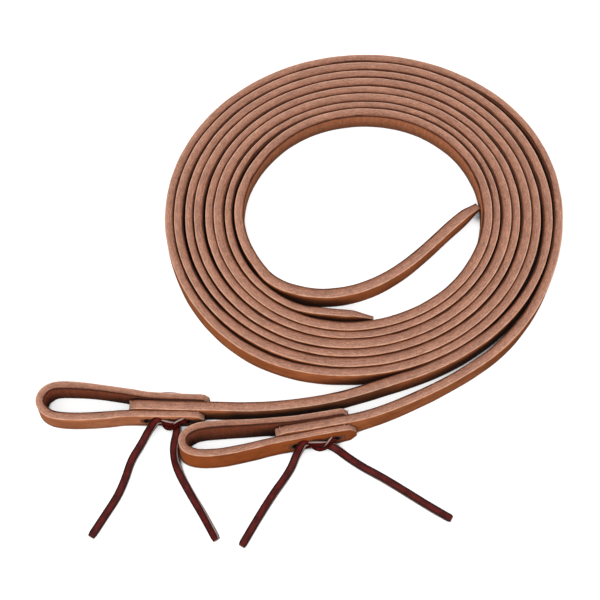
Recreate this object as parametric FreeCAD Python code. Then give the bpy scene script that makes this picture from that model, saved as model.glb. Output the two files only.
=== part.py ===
import FreeCAD, Part
import math
import os

# A pair of split leather reins with laced bit loops, coiled together and standing on edge.
# Millimetres; +Z up; the origin is the bottom centre of the bounding box. Left and right
# name the two reins by where their bit loops lie, with +Y pointing away from the loops.

# Driving dimensions
STRAP_WIDTH = 12.7              # half-inch reins on edge: their width is the height of the coil
LEFT_THICKNESS = 5.4
RIGHT_THICKNESS = 5.1           # at the bit end
RIGHT_THINNING = 0.3            # the right rein loses this much thickness per turn of the coil
LOOP_THICKNESS = 3.8            # strip that is folded into a bit loop
STACK_LENGTH = 46.0             # straight end of the rein, most of it held between a loop's two legs
LEG_CORNER = 3.0                # clipped corners of the loop's leg ends
CUT_CORNER = 1.2                # clipped corners of the rein's cut end
TIP_LENGTH = 10.0               # the inner end of each rein tapers over this length
TIP_DROP = 5.0                  # to a blunt point, this far in from both edges

# Coil: the outer face of the right rein, as a radius about COIL_CENTRE
COIL_CENTRE = (31.8, 43.0)
COIL_RADIUS = 109.1
COIL_OFFSET = (-3.4, -1.9)      # first harmonic, along X and Y
COIL_OVAL = (4.5, 1.6)          # second harmonic, straight and diagonal
COIL_PITCH = 11.7               # both straps together, per turn
PITCH_OVAL = 0.35
PITCH_CLOSING = 0.2             # the turns lie closer together further in
STRAP_GAP = 0.2                 # between the right rein and the left rein inside it
COIL_STEP = 7.5                 # degrees between stations
COIL_START = -60.0              # where the straps join the coil, at its front right
LEFT_COIL_END = 1290.0
RIGHT_COIL_END = 1320.0

# Where a layer stands off its neighbour: centre and half width in degrees, height
LEFT_BULGES = ((-60, 20, -0.4), (150, 55, -0.5), (1232, 25, -1.5), (1300, 35, -2.0))
RIGHT_BULGES = ((-60, 30, 3.7), (25, 25, 1.2), (150, 55, -0.6), (235, 22, 1.4), (1350, 30, -1.6))

# Centre lines of the uncoiled stretches, points chosen by hand
LEFT_CUT_END = (-92.9, -70.8)
LEFT_STACK_ANGLE = -1.4         # degrees, from the cut end towards the coil
LEFT_BIT_RUN = [(-29.6, -72.5), (-9.6, -71.1), (12.4, -67.8), (28.6, -63.2)]
LEFT_HINGE = (44.0, -58.3)
LEFT_LEAD = [(57.0, -53.9), (69.6, -48.8)]
LEFT_TAIL = [(-21.2, 1.0), (-10.5, -5.2), (4.6, -8.6), (21.5, -7.6), (38.5, -1.6), (54.5, 8.6), (69.0, 21.8),
             (82.5, 35.3), (96.0, 46.6)]
RIGHT_CUT_END = (-16.0, -85.2)
RIGHT_STACK_ANGLE = 10.0
RIGHT_BIT_RUN = [(43.6, -72.4)]
RIGHT_HINGE = (57.5, -66.4)
RIGHT_LEAD = [(72.2, -59.3)]
RIGHT_TAIL = [(11.5, -18.8), (23.8, -20.0), (35.8, -20.3)]

# Bit loops: points from the far leg, round the eye, to the near leg
LEFT_EYE = [(-92.8, -64.2), (-108.5, -61.8), (-123.8, -60.2), (-136.0, -60.6), (-141.2, -68.2),
            (-136.2, -76.2), (-123.0, -77.9), (-105.0, -76.9)]
RIGHT_EYE = [(-15.5, -79.4), (-30.5, -80.6), (-46.0, -81.3), (-59.0, -82.6), (-65.2, -88.4),
             (-62.6, -96.0), (-50.0, -97.4), (-31.0, -93.8)]
LEFT_LEG_REACH = (41.2, 39.1)   # far and near leg ends, from the rein's cut end
RIGHT_LEG_REACH = (39.0, 41.4)
LEG_CONTACT = (13.0, 0.0)       # where the far and near legs first meet the rein, likewise

# Lace: it crosses the back of the stack, comes through two holes and is knotted in front
HOLE_RADIUS = 2.0
HOLE_HEIGHT = 6.6
HOLE_DISTANCES = (10.0, 30.2)   # from the rein's cut end
THROUGH_RADIUS = 1.4            # the lace where it is folded to pass through a hole
THROUGH_REACH = 1.5             # it goes on this far past the far leg, into the back run
LACE_RADIUS = 1.5               # the lace where it is rolled into a single turn
LACE_WIDTH = 4.4                # flat
BACK_RUN_THICKNESS = 2.2
BACK_RUN_LIFT = 1.0             # the back run leans out with the far leg, towards the eye
KNOT_RADIUS = 2.5
KNOT_END = 26.0                 # from the cut end; a single turn of lace goes on to the second hole
TURN_STANDOFF = 0.25            # between that turn and the face of the leg
TAIL_RADIUS = 1.8               # of the same section as the flat lace
LEFT_EYE_TAIL = [(-84.0, -83.9, 5.2), (-87.8, -90.0, 2.4), (-92.0, -98.4, 1.85), (-94.4, -108.0, 1.85),
                 (-98.0, -117.5, 1.85), (-103.6, -126.8, 1.85), (-109.8, -137.2, 1.85)]
LEFT_REIN_TAIL = [(-68.8, -84.4, 5.2), (-70.4, -91.0, 2.4), (-69.0, -99.0, 1.85), (-64.6, -107.0, 1.85),
                  (-58.8, -117.0, 1.85), (-52.6, -128.4, 1.85), (-46.8, -139.0, 1.85)]
RIGHT_EYE_TAIL = [(-4.0, -96.4, 5.2), (-6.4, -102.4, 2.4), (-11.6, -108.7, 1.85), (-17.2, -115.8, 1.85),
                  (-23.2, -125.5, 1.85), (-28.2, -134.0, 1.85), (-32.8, -142.0, 1.85)]
RIGHT_REIN_TAIL = [(15.6, -93.2, 5.2), (21.4, -97.0, 2.4), (29.2, -101.9, 1.85), (37.8, -106.6, 1.85),
                   (47.2, -112.4, 1.85), (57.0, -118.8, 1.85), (66.2, -124.6, 1.85), (74.2, -129.2, 1.85)]

HINGE_GAP = 0.9                 # between a rein and its bit end, at the bend

# Construction
ARC_SHARE = 0.45                # share of the shorter run that a rounded corner takes
TANGENT_STEP = 0.5              # degrees either side of a station on the coil
CUT_CLEARANCE = 1.0             # a cutting body reaches this far past what it cuts
DRILL_REACH = 20.0              # either side of the rein's middle


# Vectors and curves

def vec(x, y, z=0.0):
    return FreeCAD.Vector(x, y, z)


def unit(vector):
    return vector * (1.0 / vector.Length)


def left_of(direction):
    return vec(-direction.y, direction.x)


def heading(degrees):
    return vec(math.cos(math.radians(degrees)), math.sin(math.radians(degrees)))


def edge(points):
    """A straight edge through two points, or an arc through three."""
    if len(points) == 2:
        return Part.LineSegment(*points).toShape()
    return Part.Arc(*points).toShape()


def rounded_route(points, name):
    """Straight runs through the points, joined by tangent arcs as large as the runs allow."""
    pieces = []
    radii = []
    start = points[0]
    for before, corner, after in zip(points, points[1:], points[2:]):
        run_in = corner - before
        run_out = after - corner
        setback = ARC_SHARE * min(run_in.Length, run_out.Length)
        radius = setback / math.tan(run_in.getAngle(run_out) / 2)
        entry = corner - unit(run_in) * setback
        leave = corner + unit(run_out) * setback
        bisector = unit(unit(run_out) - unit(run_in))
        middle = corner + bisector * (math.hypot(setback, radius) - radius)
        pieces.append([start, entry])
        pieces.append([entry, middle, leave])
        radii.append(round(radius, 1))
        start = leave
    pieces.append([start, points[-1]])
    print(name, "bend radii", radii)
    return pieces


# A strap standing on edge is a chain of pieces, each a list of stations: two for a straight
# run, three for an arc. A station is (point, left normal, half thickness).

def piece_normals(piece):
    if len(piece) == 2:
        normal = left_of(unit(piece[1] - piece[0]))
        return [normal, normal]
    centre = edge(piece).Curve.Center
    side = 1.0
    if (piece[1] - piece[0]).cross(piece[2] - piece[1]).z < 0:
        side = -1.0
    return [unit(centre - p) * side for p in piece]


def stations(route, thickness):
    chain = []
    for piece in route:
        chain.append([(p, n, thickness / 2) for p, n in zip(piece, piece_normals(piece))])
    return chain


def joined(first, second):
    """Two chains end to end, sharing the second one's first station."""
    first[-1][-1] = second[0][0]
    return first + second


def strap_solid(chain):
    """The band along a chain of stations, extruded to the full strap width."""
    left = [[p + n * half for p, n, half in piece] for piece in chain]
    right = [[p - n * half for p, n, half in piece] for piece in chain]
    edges = [edge(piece) for piece in left]
    edges.append(edge([left[-1][-1], right[-1][-1]]))
    edges += [edge(piece[::-1]) for piece in reversed(right)]
    edges.append(edge([right[0][0], left[0][0]]))
    face = Part.Face(Part.Wire(edges))
    return face.extrude(vec(0, 0, STRAP_WIDTH))


def clip_end(solid, station, outward, length, drop):
    """Slopes the strap's top and bottom edges towards its end, over length, by drop."""
    point, normal, half = station
    across = normal * (half + CUT_CLEARANCE)
    back = point - outward * length
    past = point + outward * CUT_CLEARANCE
    slope = drop * (1.0 + CUT_CLEARANCE / length)
    for base, sign in ((STRAP_WIDTH, 1.0), (0.0, -1.0)):
        outer = base + sign * CUT_CLEARANCE
        corners = [back + vec(0, 0, base), past + vec(0, 0, base - sign * slope),
                   past + vec(0, 0, outer), back + vec(0, 0, outer)]
        profile = Part.makePolygon([c - across for c in corners + corners[:1]])
        solid = solid.cut(Part.Face(profile).extrude(across * 2))
    return solid


def chain_length(chain):
    return sum(edge([station[0] for station in piece]).Length for piece in chain)


# The coil

def bulge(angle, bulges):
    return sum(height * math.exp(-((angle - centre) / width) ** 2) for centre, width, height in bulges)


def outer_face(angle):
    """Radius of the pair's outer face at an unwrapped angle, in degrees."""
    a = math.radians(angle)
    turn = angle / 360
    radius = COIL_RADIUS + COIL_OFFSET[0] * math.cos(a) + COIL_OFFSET[1] * math.sin(a)
    radius += COIL_OVAL[0] * math.cos(2 * a) + COIL_OVAL[1] * math.sin(2 * a)
    return radius - (COIL_PITCH + PITCH_OVAL * math.cos(2 * a)) * turn + PITCH_CLOSING * turn ** 2


def left_thickness(angle):
    return LEFT_THICKNESS


def right_thickness(angle):
    return RIGHT_THICKNESS - RIGHT_THINNING * max(0.0, angle / 360)


def left_radius(angle):
    inner_face = outer_face(angle) - right_thickness(angle) - STRAP_GAP
    return inner_face - LEFT_THICKNESS / 2 + bulge(angle, LEFT_BULGES)


def right_radius(angle):
    return outer_face(angle) - right_thickness(angle) / 2 + bulge(angle, RIGHT_BULGES)


def coil_point(radius, angle):
    return vec(*COIL_CENTRE) + heading(angle) * radius(angle)


def coil_chain(radius, thickness, end):
    count = round((end - COIL_START) / COIL_STEP)
    row = []
    for i in range(count + 1):
        angle = COIL_START + i * COIL_STEP
        tangent = unit(coil_point(radius, angle + TANGENT_STEP) - coil_point(radius, angle - TANGENT_STEP))
        row.append((coil_point(radius, angle), left_of(tangent), thickness(angle) / 2))
    return [row[i:i + 3] for i in range(0, count - 1, 2)]


# The pieces of one rein

def coiled_strap(name, hinge, lead, radius, thickness, end, tail):
    """The rein from the bend at its bit end, through the coil, to its pointed inner end."""
    coil = coil_chain(radius, thickness, end)
    points = [vec(*p) for p in [hinge] + lead] + [coil[0][0][0]]
    points[0] = points[0] + unit(points[1] - points[0]) * (HINGE_GAP / 2)
    chain = joined(stations(rounded_route(points, name + " lead"), thickness(COIL_START)), coil)
    points = [coil[-1][-1][0]] + [vec(*p) for p in tail]
    run = stations(rounded_route(points, name + " tail"), thickness(end))
    run[0][0] = coil[-1][-1]
    chain += run
    tip = chain[-1][-1]
    solid = clip_end(strap_solid(chain), tip, unit(tip[0] - chain[-1][0][0]), TIP_LENGTH, TIP_DROP)
    return solid, chain_length(chain)


def bit_end_strap(name, cut_end, angle, run, hinge, thickness):
    """The rein from its square cut end, through the loop's legs, to the bend."""
    along = heading(angle)
    points = [vec(*cut_end), vec(*cut_end) + along * STACK_LENGTH]
    points += [vec(*p) for p in run + [hinge]]
    points[-1] = points[-1] + unit(points[-2] - points[-1]) * (HINGE_GAP / 2)
    chain = stations(rounded_route(points, name + " bit end"), thickness)
    solid = clip_end(strap_solid(chain), chain[0][0], along * -1, CUT_CORNER, CUT_CORNER)
    return solid, chain_length(chain)


def bit_loop(name, cut_end, angle, thickness, reach, eye):
    """A strip folded round the eye, its two legs flat against the rein's end."""
    along = heading(angle)
    across = left_of(along) * ((thickness + LOOP_THICKNESS) / 2)
    base = vec(*cut_end)
    points = [base + along * reach[0] + across, base + along * LEG_CONTACT[0] + across]
    points += [vec(*p) for p in eye]
    points += [base + along * LEG_CONTACT[1] - across, base + along * reach[1] - across]
    chain = stations(rounded_route(points, name), LOOP_THICKNESS)
    solid = strap_solid(chain)
    for station in (chain[0][0], chain[-1][-1]):
        solid = clip_end(solid, station, along, LEG_CORNER, LEG_CORNER)
    return solid, chain_length(chain)


def hole_axis(cut_end, angle, distance, across):
    """A point on a lace hole's axis, at a signed distance across the stack."""
    along = heading(angle)
    return vec(*cut_end) + along * distance + left_of(along) * across + vec(0, 0, HOLE_HEIGHT)


def with_lace_holes(solid, cut_end, angle):
    for distance in HOLE_DISTANCES:
        start = hole_axis(cut_end, angle, distance, -DRILL_REACH)
        drill = Part.makeCylinder(HOLE_RADIUS, 2 * DRILL_REACH, start, left_of(heading(angle)))
        solid = solid.cut(drill)
    return solid


def lace_knot(cut_end, angle, thickness):
    """The lace from the knot in front of the near leg, through both holes and across the back."""
    along = heading(angle)
    across = left_of(along)
    face = thickness / 2 + LOOP_THICKNESS
    first = HOLE_DISTANCES[0] - LACE_WIDTH / 2
    last = HOLE_DISTANCES[1] + LACE_WIDTH / 2
    knot_start = hole_axis(cut_end, angle, first, -face - KNOT_RADIUS)
    solid = Part.makeCylinder(KNOT_RADIUS, KNOT_END - first, knot_start, along)
    turn_offset = -face - TURN_STANDOFF - LACE_RADIUS
    turn_start = hole_axis(cut_end, angle, KNOT_END - LACE_RADIUS, turn_offset)
    solid = solid.fuse(Part.makeCylinder(LACE_RADIUS, last - KNOT_END + LACE_RADIUS, turn_start, along))
    for distance in HOLE_DISTANCES:
        start = hole_axis(cut_end, angle, distance, turn_offset)
        length = face - turn_offset + THROUGH_REACH
        solid = solid.fuse(Part.makeCylinder(THROUGH_RADIUS, length, start, across))
    below = vec(0, 0, LACE_WIDTH / 2)
    inner = [hole_axis(cut_end, angle, first, face + BACK_RUN_LIFT) - below,
             hole_axis(cut_end, angle, last, face) - below]
    outer = [p + across * BACK_RUN_THICKNESS for p in reversed(inner)]
    outline = Part.makePolygon(inner + outer + inner[:1])
    return solid.fuse(Part.Face(outline).extrude(below * 2)).removeSplitter()


def lace_tail(name, points):
    """A free end of the lace: a round tube from the knot down to the floor."""
    route = rounded_route([vec(*p) for p in points], name)
    path = Part.Wire([edge(piece) for piece in route])
    direction = unit(route[0][1] - route[0][0])
    section = Part.Wire(Part.Circle(route[0][0], direction, TAIL_RADIUS).toShape())
    tube = path.makePipeShell([section], True, False)
    expected = math.pi * TAIL_RADIUS ** 2 * path.Length
    print(name, "length", round(path.Length, 1), "volume over section times length",
          round(tube.Volume / expected, 3))
    return tube


def main():
    os.makedirs("parts", exist_ok=True)
    reins = {
        "left": (LEFT_CUT_END, LEFT_STACK_ANGLE, LEFT_BIT_RUN, LEFT_HINGE, LEFT_LEAD, left_radius,
                 left_thickness, LEFT_COIL_END, LEFT_TAIL, LEFT_LEG_REACH, LEFT_EYE,
                 LEFT_EYE_TAIL, LEFT_REIN_TAIL),
        "right": (RIGHT_CUT_END, RIGHT_STACK_ANGLE, RIGHT_BIT_RUN, RIGHT_HINGE, RIGHT_LEAD, right_radius,
                  right_thickness, RIGHT_COIL_END, RIGHT_TAIL, RIGHT_LEG_REACH, RIGHT_EYE,
                  RIGHT_EYE_TAIL, RIGHT_REIN_TAIL),
    }
    parts = {}
    for side, rein in reins.items():
        (cut_end, angle, run, hinge, lead, radius, thickness, end, tail, reach, eye,
         eye_tail, rein_tail) = rein
        at_bit = thickness(COIL_START)
        strap, strap_length = coiled_strap(side, hinge, lead, radius, thickness, end, tail)
        bit_end, bit_length = bit_end_strap(side, cut_end, angle, run, hinge, at_bit)
        loop, loop_length = bit_loop(side + " loop", cut_end, angle, at_bit, reach, eye)
        parts[side + "_rein_strap"] = strap
        parts[side + "_rein_bit_end"] = with_lace_holes(bit_end, cut_end, angle)
        parts[side + "_bit_loop"] = with_lace_holes(loop, cut_end, angle)
        parts[side + "_lace_knot"] = lace_knot(cut_end, angle, at_bit)
        parts[side + "_lace_eye_tail"] = lace_tail(side + " eye tail", eye_tail)
        parts[side + "_lace_rein_tail"] = lace_tail(side + " rein tail", rein_tail)
        print(side, "rein", round(strap_length + bit_length + HINGE_GAP), "mm, loop strip",
              round(loop_length), "mm")
    for name, shape in parts.items():
        shape.Solids[0].exportStep("parts/" + name + ".step")
    return parts


if __name__ == "__main__":
    main()
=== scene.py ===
import math
from collections import namedtuple

import bpy
import numpy as np
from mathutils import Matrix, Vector, noise


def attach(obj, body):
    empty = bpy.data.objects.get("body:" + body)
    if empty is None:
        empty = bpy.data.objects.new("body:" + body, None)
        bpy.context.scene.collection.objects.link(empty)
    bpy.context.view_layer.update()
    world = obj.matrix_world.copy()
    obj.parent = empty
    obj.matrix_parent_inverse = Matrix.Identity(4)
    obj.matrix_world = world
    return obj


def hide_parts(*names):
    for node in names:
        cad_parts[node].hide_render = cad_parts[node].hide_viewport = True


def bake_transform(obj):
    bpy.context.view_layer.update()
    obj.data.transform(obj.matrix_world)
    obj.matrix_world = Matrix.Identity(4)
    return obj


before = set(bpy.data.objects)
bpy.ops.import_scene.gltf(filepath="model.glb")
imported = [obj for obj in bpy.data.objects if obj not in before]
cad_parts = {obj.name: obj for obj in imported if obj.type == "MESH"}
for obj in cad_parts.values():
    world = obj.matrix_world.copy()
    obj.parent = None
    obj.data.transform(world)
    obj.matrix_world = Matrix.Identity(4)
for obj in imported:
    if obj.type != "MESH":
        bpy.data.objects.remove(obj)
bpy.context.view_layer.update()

# A pair of split leather reins, coiled together on edge, with laced bit loops. Metres, in the
# part's own frame. Each strap is swept along a smooth line: its grain face is on the right-hand
# side of the line's direction, its flesh face on the left, and its cut edges face up and down.

STRAP_WIDTH = 0.0127
LOOP_THICKNESS = 0.0038
LOOP_BEND_THICKNESS = 0.0046  # the folded strip swells where it goes round the eye
LACE_WIDTH = 0.0044
LACE_THICKNESS = 0.0022
KNOT_LACE_WIDTH = 0.0032  # the lace narrows where it is pulled tight

# The coil: the outer face of the right rein, as a radius about the centre
COIL_CENTRE = (0.0318, 0.0430)
COIL_RADIUS = 0.1091
COIL_OFFSET = (-0.0034, -0.0019)  # the radius's cosine and sine terms of the angle
COIL_OVAL = (0.0045, 0.0016)  # and of twice the angle
COIL_PITCH = 0.0117  # how far one turn lies inside the last
PITCH_OVAL = 0.00035  # the pitch's cosine term of twice the angle
PITCH_CLOSING = 0.0002  # the turns draw closer: times the square of the turns' number
STRAP_GAP = 0.0002  # between the right rein and the left one inside it
COIL_STEP = 7.5  # degrees between control points
COIL_START = -60.0
TAIL_SWELL = 0.0004  # the inner end, which isn't pressed by its neighbours, is thicker
SLACK = 0.0002  # the most that a strap is thinner than its share, away from the named gaps
SLACK_WAVES = 0.021  # how fast the slack varies along the coil, per degree
SLACK_RANGE = (-0.1, 0.5)

# For each rein, in metres and degrees. thinning is its loss of thickness per turn. It sets off
# from cut_end at angle, with control points at the stack's distances, and goes on through bit_run,
# lead, the coil up to coil_end, and tail. bulges and gaps are (angle, width, height) of where it
# leaves its even spiral and where it is thinner. bend is its joint's stretch along Y. eye takes the
# loop's strip from the far leg to the near one, which reach this far from the cut end. The inner
# tip loses the share tip_skive of its thickness.
REINS = {
    "left": {
        "thickness": 0.0054,
        "thinning": 0.0,
        "cut_end": (-0.0929, -0.0708),
        "angle": -1.4,
        "stack": (0.029, 0.046),
        "bit_run": [(-0.0296, -0.0725), (-0.0096, -0.0711), (0.0124, -0.0678),
                    (0.0286, -0.0632)],
        "lead": [(0.0440, -0.0583), (0.0570, -0.0539), (0.0696, -0.0488)],
        "coil_end": 1290.0,
        "bulges": ((-60, 20, -0.0004), (150, 55, -0.0005), (1232, 25, -0.0015),
                   (1300, 35, -0.0020)),
        "gaps": ((-24, 24, 0.0008), (205, 40, 0.0005), (560, 35, 0.0004)),
        "tail": [(-0.0212, 0.0010), (-0.0105, -0.0052), (0.0046, -0.0086), (0.0215, -0.0076),
                 (0.0385, -0.0016), (0.0545, 0.0086), (0.0690, 0.0218), (0.0825, 0.0353),
                 (0.0960, 0.0466)],
        "bend": (-0.0505, -0.0655),
        "eye": [(-0.0928, -0.0642), (-0.1085, -0.0618), (-0.1238, -0.0602), (-0.1360, -0.0606),
                (-0.1412, -0.0682), (-0.1362, -0.0762), (-0.1230, -0.0779), (-0.1050, -0.0769)],
        "reach": (0.0412, 0.0391),
        "hole_height": 0.0066,
        "tip_skive": 0.30,
        "length": 2.27,
    },
    "right": {
        "thickness": 0.0051,
        "thinning": 0.0003,
        "cut_end": (-0.0160, -0.0852),
        "angle": 10.0,
        "stack": (0.031, 0.046),
        "bit_run": [(0.0436, -0.0724)],
        "lead": [(0.0575, -0.0664), (0.0722, -0.0593)],
        "coil_end": 1320.0,
        "bulges": ((-60, 30, 0.0037), (25, 25, 0.0012), (150, 55, -0.0006), (235, 22, 0.0014),
                   (1350, 30, -0.0016)),
        "gaps": ((22, 26, 0.0010), (585, 40, 0.0006), (1105, 24, 0.0008)),
        "tail": [(0.0115, -0.0188), (0.0238, -0.0200), (0.0358, -0.0203)],
        "bend": (-0.0575, -0.0730),
        "eye": [(-0.0155, -0.0794), (-0.0305, -0.0806), (-0.0460, -0.0813), (-0.0590, -0.0826),
                (-0.0652, -0.0884), (-0.0626, -0.0960), (-0.0500, -0.0974), (-0.0310, -0.0938)],
        "reach": (0.0390, 0.0414),
        "hole_height": 0.0052,
        "tip_skive": 0.55,
        "length": 2.26,
    },
}
LEG_CONTACT = (0.013, 0.0)  # where the far and the near leg leave the rein, from its cut end

# The straps lean back at the front: their lower edges stand this far out, towards -Y
LEAN = 0.0012
LEAN_RANGE = (0.030, -0.045)  # from none to all of it, along Y
STACK_LEAN = {"left": 0.0002, "right": 0.0024}  # what each bit end adds
STACK_LEAN_RANGE = {"left": (-0.01, -0.05), "right": (0.075, -0.010)}  # likewise, along X

# The oval holes that the lace goes through
HOLE_DISTANCES = (0.0092, 0.0308)  # along the rein, from its cut end
HOLE_RADII = (0.0017, 0.0026)  # along the leg, and up
HOLE_MARK = (1.0, 1.0, 0.0)  # cut, across and up of a rim: as dark as the flesh side's edge, painted shade in the hole

# Laces. Points of the knot are (along the leg from the rein's cut end, out from the near leg's
# face, up) in millimetres, each followed by its tilt in degrees, which turns the lace's width
# about the strand.
KNOTS = {
    "left": {
        "over": [((30.6, -3.0, 6.4), 0), ((29.4, 0.2, 8.0), -20), ((28.0, 1.0, 10.6), -42),
                 ((25.0, 2.0, 8.6), -42), ((21.7, 2.8, 4.9), -42), ((19.1, 2.2, 4.4), -10),
                 ((18.1, 1.2, 7.0), 25), ((18.3, 0.6, 9.0), 25)],
        "under": [((10.4, -3.0, 6.4), 0), ((11.2, 0.2, 6.6), 10), ((14.2, 0.4, 7.0), 30),
                  ((17.6, 1.2, 9.0), 42), ((20.8, 2.3, 9.2), 42), ((23.6, 2.0, 7.6), 35),
                  ((25.8, 1.4, 4.8), 10)],
        "eye_start": [((16.6, 0.4, 9.2), 30), ((15.2, 1.2, 10.8), 30), ((14.0, 2.0, 10.2), 25)],
        "rein_start": [((24.1, 1.0, 4.6), 0), ((25.2, 2.6, 4.4), 10)],
    },
    "right": {
        "over": [((30.0, -3.0, 5.2), 0), ((28.9, 0.2, 6.6), -20), ((28.2, 1.0, 8.4), -42),
                 ((25.8, 2.4, 6.0), -42), ((22.5, 3.0, 4.5), -42), ((19.5, 2.2, 5.0), -10),
                 ((17.5, 1.4, 7.2), 25), ((18.6, 0.8, 8.6), 25)],
        "under": [((11.0, -3.0, 5.2), 0), ((12.0, 0.2, 6.0), 10), ((14.8, 0.6, 6.6), 30),
                  ((18.0, 1.8, 8.6), 42), ((22.6, 2.3, 7.8), 42), ((26.0, 1.6, 5.2), 25)],
        "eye_start": [((14.8, 0.4, 8.4), 35), ((13.5, 1.2, 10.0), 35), ((12.3, 2.0, 9.4), 30)],
        "rein_start": [((25.1, 1.0, 4.4), 0), ((27.0, 2.4, 4.8), 5)],
    },
}
KNOT_FACING = np.array([0.0, -0.37, 0.93])  # the knot's strands turn their grain face this way

# Behind the far leg the lace runs from the second hole to the first. Its points are (along the
# leg, out from that leg's face) in millimetres.
BACK_RUN = [(29.6, -2.0), (29.2, 0.3), (25.4, 1.4), (20.0, 1.9), (15.0, 1.4), (11.4, 0.3),
            (10.8, -2.0)]
BACK_RUN_DROP = 0.0009  # its middle lies this far below the holes

# Each point of a tail is followed by its lean in degrees, which lifts one edge of the flat lace
TAILS = {
    ("left", "eye"): [(-0.0833, -0.0839, 0.0052, 8), (-0.0868, -0.0900, 0.0024, 0),
                      (-0.0920, -0.0984, 0.0013, 0), (-0.0944, -0.1080, 0.0012, 0),
                      (-0.0980, -0.1175, 0.0012, -4), (-0.1036, -0.1268, 0.0013, -8),
                      (-0.1105, -0.1384, 0.0013, -6)],
    ("left", "rein"): [(-0.0681, -0.0844, 0.0052, 14), (-0.0698, -0.0910, 0.0030, 22),
                       (-0.0690, -0.0990, 0.0021, 36), (-0.0656, -0.1070, 0.0017, 12),
                       (-0.0598, -0.1170, 0.0017, 12), (-0.0526, -0.1284, 0.0020, 34),
                       (-0.0462, -0.1401, 0.0020, 34)],
    ("right", "eye"): [(-0.0055, -0.0964, 0.0052, 12), (-0.0080, -0.1024, 0.0024, 0),
                       (-0.0121, -0.1087, 0.0014, 8), (-0.0172, -0.1158, 0.0014, 8),
                       (-0.0232, -0.1255, 0.0013, 6), (-0.0282, -0.1340, 0.0012, 0),
                       (-0.0334, -0.1431, 0.0012, 0)],
    ("right", "rein"): [(0.0156, -0.0932, 0.0052, 20), (0.0214, -0.0970, 0.0024, 10),
                        (0.0292, -0.1019, 0.0013, 6), (0.0378, -0.1066, 0.0012, 0),
                        (0.0472, -0.1124, 0.0012, 0), (0.0570, -0.1188, 0.0012, 0),
                        (0.0662, -0.1246, 0.0012, 0), (0.0742, -0.1292, 0.0013, 4)],
}


# Camera

CAMERA_PLACE = (-0.0034, -0.2753, 0.6629)
CAMERA_TARGET = (-0.0034, -0.0075, 0.0)
CAMERA_LENS = 78.0
CAMERA_SHIFT = (-0.00083, 0.00083)


def make_camera():
    data = bpy.data.cameras.new("camera")
    data.lens = CAMERA_LENS
    data.shift_x, data.shift_y = CAMERA_SHIFT
    camera = bpy.data.objects.new("camera", data)
    camera.location = CAMERA_PLACE
    aim = Vector(CAMERA_TARGET) - Vector(CAMERA_PLACE)
    camera.rotation_euler = aim.to_track_quat("-Z", "Y").to_euler()
    bpy.context.scene.collection.objects.link(camera)
    bpy.context.scene.camera = camera


# Lines

def line_through(points, steps):
    """Points read from the quadratic NURBS that has these control points."""
    curve = bpy.data.curves.new("line", "CURVE")
    curve.dimensions = "3D"
    curve.resolution_u = steps
    spline = curve.splines.new("NURBS")
    spline.points.add(len(points) - 1)
    for control, point in zip(spline.points, points):
        control.co = (*point, 1.0)
    spline.order_u = 3
    spline.use_endpoint_u = True
    holder = bpy.data.objects.new("line", curve)
    mesh = bpy.data.meshes.new_from_object(holder)
    line = np.array([v.co for v in mesh.vertices])
    bpy.data.objects.remove(holder)
    bpy.data.meshes.remove(mesh)
    bpy.data.curves.remove(curve)
    return line


def unit_rows(rows):
    return rows / np.linalg.norm(rows, axis=1, keepdims=True)


def distances(line):
    steps = np.linalg.norm(np.diff(line, axis=0), axis=1)
    return np.concatenate([[0.0], np.cumsum(steps)])


def heading(degrees):
    return np.array([math.cos(math.radians(degrees)), math.sin(math.radians(degrees)), 0.0])


def left_of(direction):
    return np.array([-direction[1], direction[0], 0.0])


def smooth_share(value, none, whole):
    share = min(1.0, max(0.0, (value - none) / (whole - none)))
    return share * share * (3 - 2 * share)


def lean_at(side, place, in_stack):
    """How far the strap's lower edge stands out at a place, towards -Y."""
    lean = LEAN * smooth_share(place[1], *LEAN_RANGE)
    if in_stack:
        lean += STACK_LEAN[side] * smooth_share(place[0], *STACK_LEAN_RANGE[side])
    return lean


def leaning(route, leans):
    """The route of the strap's middle, and the direction of its width, with its lower edge moved
    out towards -Y."""
    places = [np.array(p) + np.array([0, -lean / 2, 0]) for p, lean in zip(route, leans)]
    widths = [(0, lean, STRAP_WIDTH) for lean in leans]
    return places, widths


def bulge(angle, bulges):
    return sum(height * math.exp(-((angle - centre) / width) ** 2)
               for centre, width, height in bulges)


def outer_face(angle):
    """Radius of the pair's outer face at an unwrapped angle, in degrees."""
    a = math.radians(angle)
    turn = angle / 360
    radius = COIL_RADIUS + COIL_OFFSET[0] * math.cos(a) + COIL_OFFSET[1] * math.sin(a)
    radius += COIL_OVAL[0] * math.cos(2 * a) + COIL_OVAL[1] * math.sin(2 * a)
    radius -= (COIL_PITCH + PITCH_OVAL * math.cos(2 * a)) * turn
    return radius + PITCH_CLOSING * turn ** 2


def thickness_at(side, angle):
    rein = REINS[side]
    return rein["thickness"] - rein["thinning"] * max(0.0, angle / 360)


def slack(side, angle):
    """How much thinner the strap is here than its share of the coil, which leaves a gap."""
    rein = REINS[side]
    apart = rein["length"] * 10  # sets the two reins' waves apart
    uneven = noise.noise(Vector((angle * SLACK_WAVES, apart, 0.3)))
    return SLACK * smooth_share(uneven, *SLACK_RANGE) + bulge(angle, rein["gaps"])


def coil_radius(side, angle):
    """Radius of a rein's middle, with its slack left on the inside."""
    if side == "right":
        radius = outer_face(angle) - thickness_at("right", angle) / 2
    else:
        radius = (outer_face(angle) - thickness_at("right", angle) - STRAP_GAP
                  - thickness_at("left", angle) / 2)
    return radius + bulge(angle, REINS[side]["bulges"]) + slack(side, angle) / 2


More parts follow.
